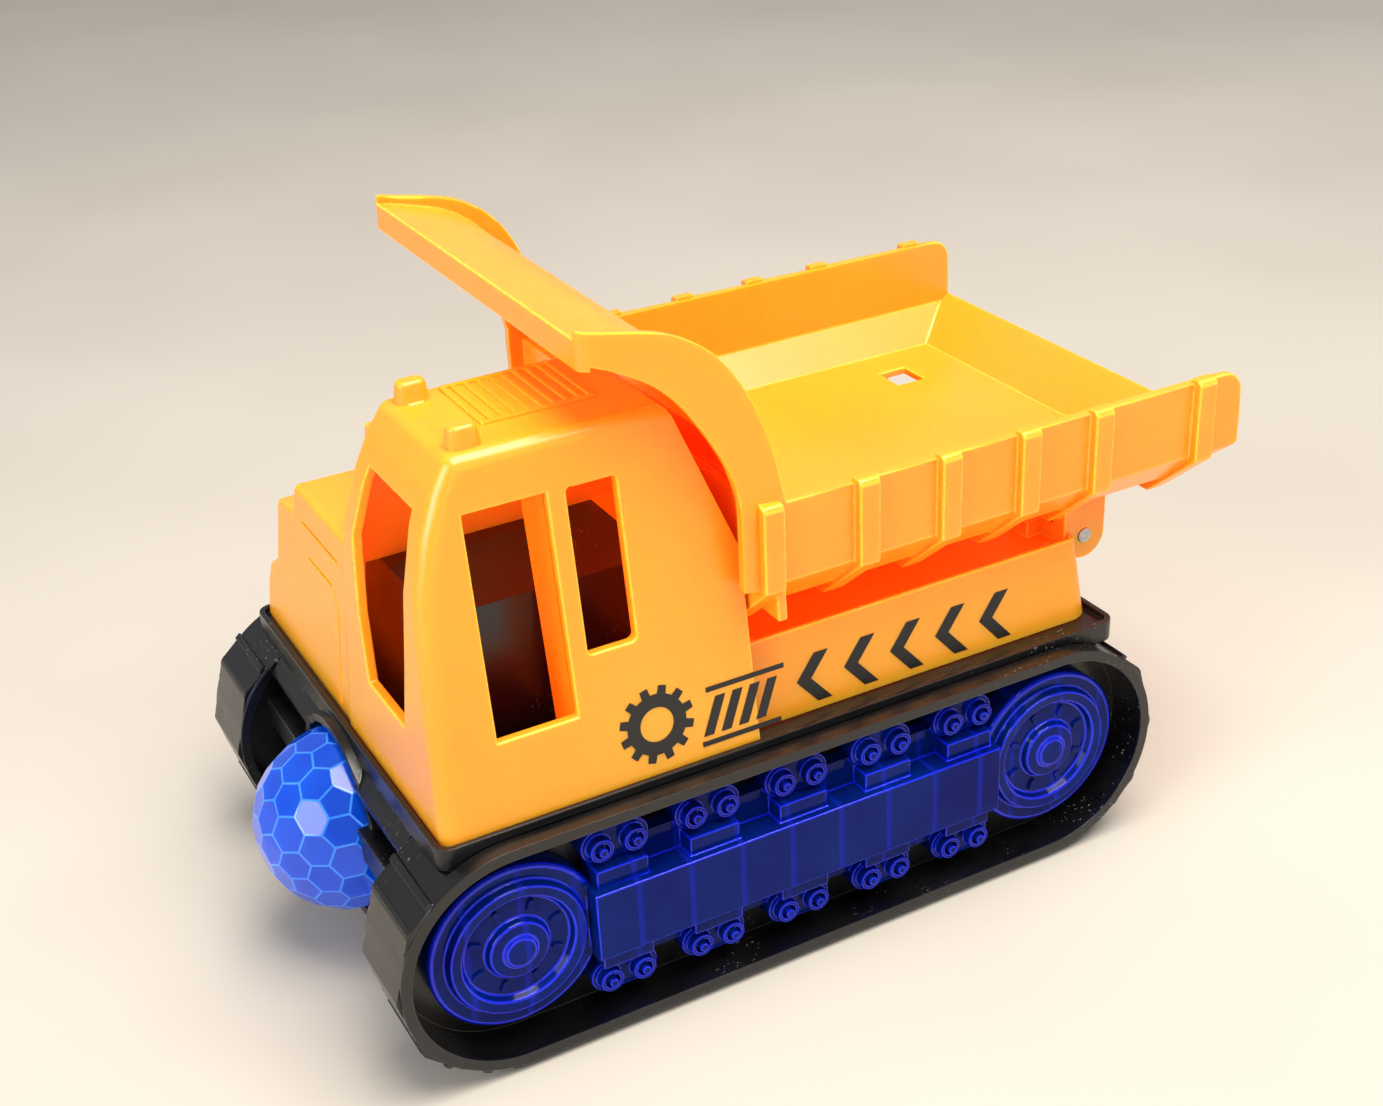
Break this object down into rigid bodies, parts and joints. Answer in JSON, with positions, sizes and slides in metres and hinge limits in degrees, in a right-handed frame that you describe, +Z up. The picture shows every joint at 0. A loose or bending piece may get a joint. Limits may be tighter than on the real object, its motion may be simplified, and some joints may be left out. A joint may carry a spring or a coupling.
{
  "type": "toy dump truck",
  "caption": "Battery toy dump truck on dummy tracks: cab and hood shell, light inserts, nose lens, swivelling geared drive unit, rear rollers and a hand-tipped bed.",
  "frame": {"origin": "on the ground, under the middle of the truck's bounding box", "axes": "+X forward along the truck, +Y to the truck's left, +Z up"},
  "size_m": [0.1992, 0.112, 0.1373],
  "materials": {
    "black_plastic": "black moulded ABS, satin",
    "yellow_plastic": "orange-yellow moulded polystyrene, glossy",
    "blue_clear_plastic": "clear dark blue moulded styrene",
    "gear_plastic": "white acetal",
    "grey_plastic": "grey moulded ABS",
    "steel": "zinc plated steel",
    "tyre_rubber": "soft black rubber",
    "battery_jacket": "printed steel jacket",
    "circuit_board": "paper phenolic laminate",
    "electronics": "moulded electronic parts",
    "speaker_cone": "pressed paper",
    "lamp_clear": "clear epoxy lamps"
  },
  "bodies": {
    "truck": {"chassis": "black_plastic", "track_left": "black_plastic", "track_right": "black_plastic", "light_insert_left": "blue_clear_plastic", "light_insert_right": "blue_clear_plastic", "dome_lens": "blue_clear_plastic", "lens_ring": "black_plastic", "cab_shell": "yellow_plastic", "rear_body": "yellow_plastic", "hinge_pin": "steel", "base_cover": "black_plastic", "base_screws": "steel", "body_screws": "steel", "battery_1": "battery_jacket", "battery_2": "battery_jacket", "battery_3": "battery_jacket", "battery_contacts_left": "steel", "battery_contacts_right": "steel", "switch_body": "steel", "circuit_board": "circuit_board", "board_parts": "electronics", "speaker": "electronics", "speaker_cone": "speaker_cone", "side_lamp_left": "lamp_clear", "side_lamp_right": "lamp_clear", "nose_lamp": "lamp_clear", "nose_board": "circuit_board", "turntable_ring": "black_plastic", "turntable_ring_screws": "steel", "battery_door": "black_plastic", "battery_door_screw": "steel"},
    "bed": {"bed": "yellow_plastic"},
    "drive_unit": {"turntable": "black_plastic", "gearbox_plate_inner": "grey_plastic", "gearbox_plate_outer": "grey_plastic", "gearbox_posts": "grey_plastic", "motor": "steel"},
    "drive_wheels": {"drive_axle": "steel", "axle_gear": "gear_plastic", "drive_wheel_left": "grey_plastic", "drive_wheel_right": "grey_plastic", "drive_tyre_left": "tyre_rubber", "drive_tyre_right": "tyre_rubber"},
    "idler_1": {"reduction_gear_1": "gear_plastic"},
    "idler_2": {"reduction_gear_2": "gear_plastic"},
    "motor_rotor": {"motor_pinion": "gear_plastic"},
    "rear_rollers": {"rear_axle": "steel", "rear_wheel_left": "grey_plastic", "rear_wheel_right": "grey_plastic", "rear_tyre_left": "tyre_rubber", "rear_tyre_right": "tyre_rubber"},
    "switch": {"switch_knob": "grey_plastic"}
  },
  "joints": [
    {"name": "bed_tilt", "type": "hinge", "parent": "truck", "child": "bed", "pos_m": [-0.0692, 0, 0.066], "axis": [0, -1, 0], "range_deg": [0, 50]},
    {"name": "drive_unit_swivel", "type": "hinge", "parent": "truck", "child": "drive_unit", "pos_m": [0.0413, 0, 0], "axis": [0, 0, 1], "continuous": true},
    {"name": "drive_wheel_spin", "type": "hinge", "parent": "drive_unit", "child": "drive_wheels", "pos_m": [0.0413, 0, 0.013], "axis": [0, 1, 0], "continuous": true},
    {"name": "idler_1_spin", "type": "hinge", "parent": "drive_unit", "child": "idler_1", "pos_m": [0.03231, 0, 0.02183], "axis": [0, 1, 0], "continuous": true},
    {"name": "idler_2_spin", "type": "hinge", "parent": "drive_unit", "child": "idler_2", "pos_m": [0.04183, 0, 0.02914], "axis": [0, 1, 0], "continuous": true},
    {"name": "motor_spin", "type": "hinge", "parent": "drive_unit", "child": "motor_rotor", "pos_m": [0.05233, 0, 0.03495], "axis": [0, 1, 0], "continuous": true},
    {"name": "rear_roller_spin", "type": "hinge", "parent": "truck", "child": "rear_rollers", "pos_m": [-0.0524, 0, 0.0105], "axis": [0, 1, 0], "continuous": true},
    {"name": "switch_slide", "type": "slide", "parent": "truck", "child": "switch", "axis": [1, 0, 0], "range_m": [0, 0.0025]}
  ],
  "couplings": [
    {"joint": "idler_1_spin", "follows": "drive_wheel_spin", "ratio": -2.5},
    {"joint": "idler_2_spin", "follows": "drive_wheel_spin", "ratio": 7.5},
    {"joint": "motor_spin", "follows": "drive_wheel_spin", "ratio": -22.5}
  ]
}
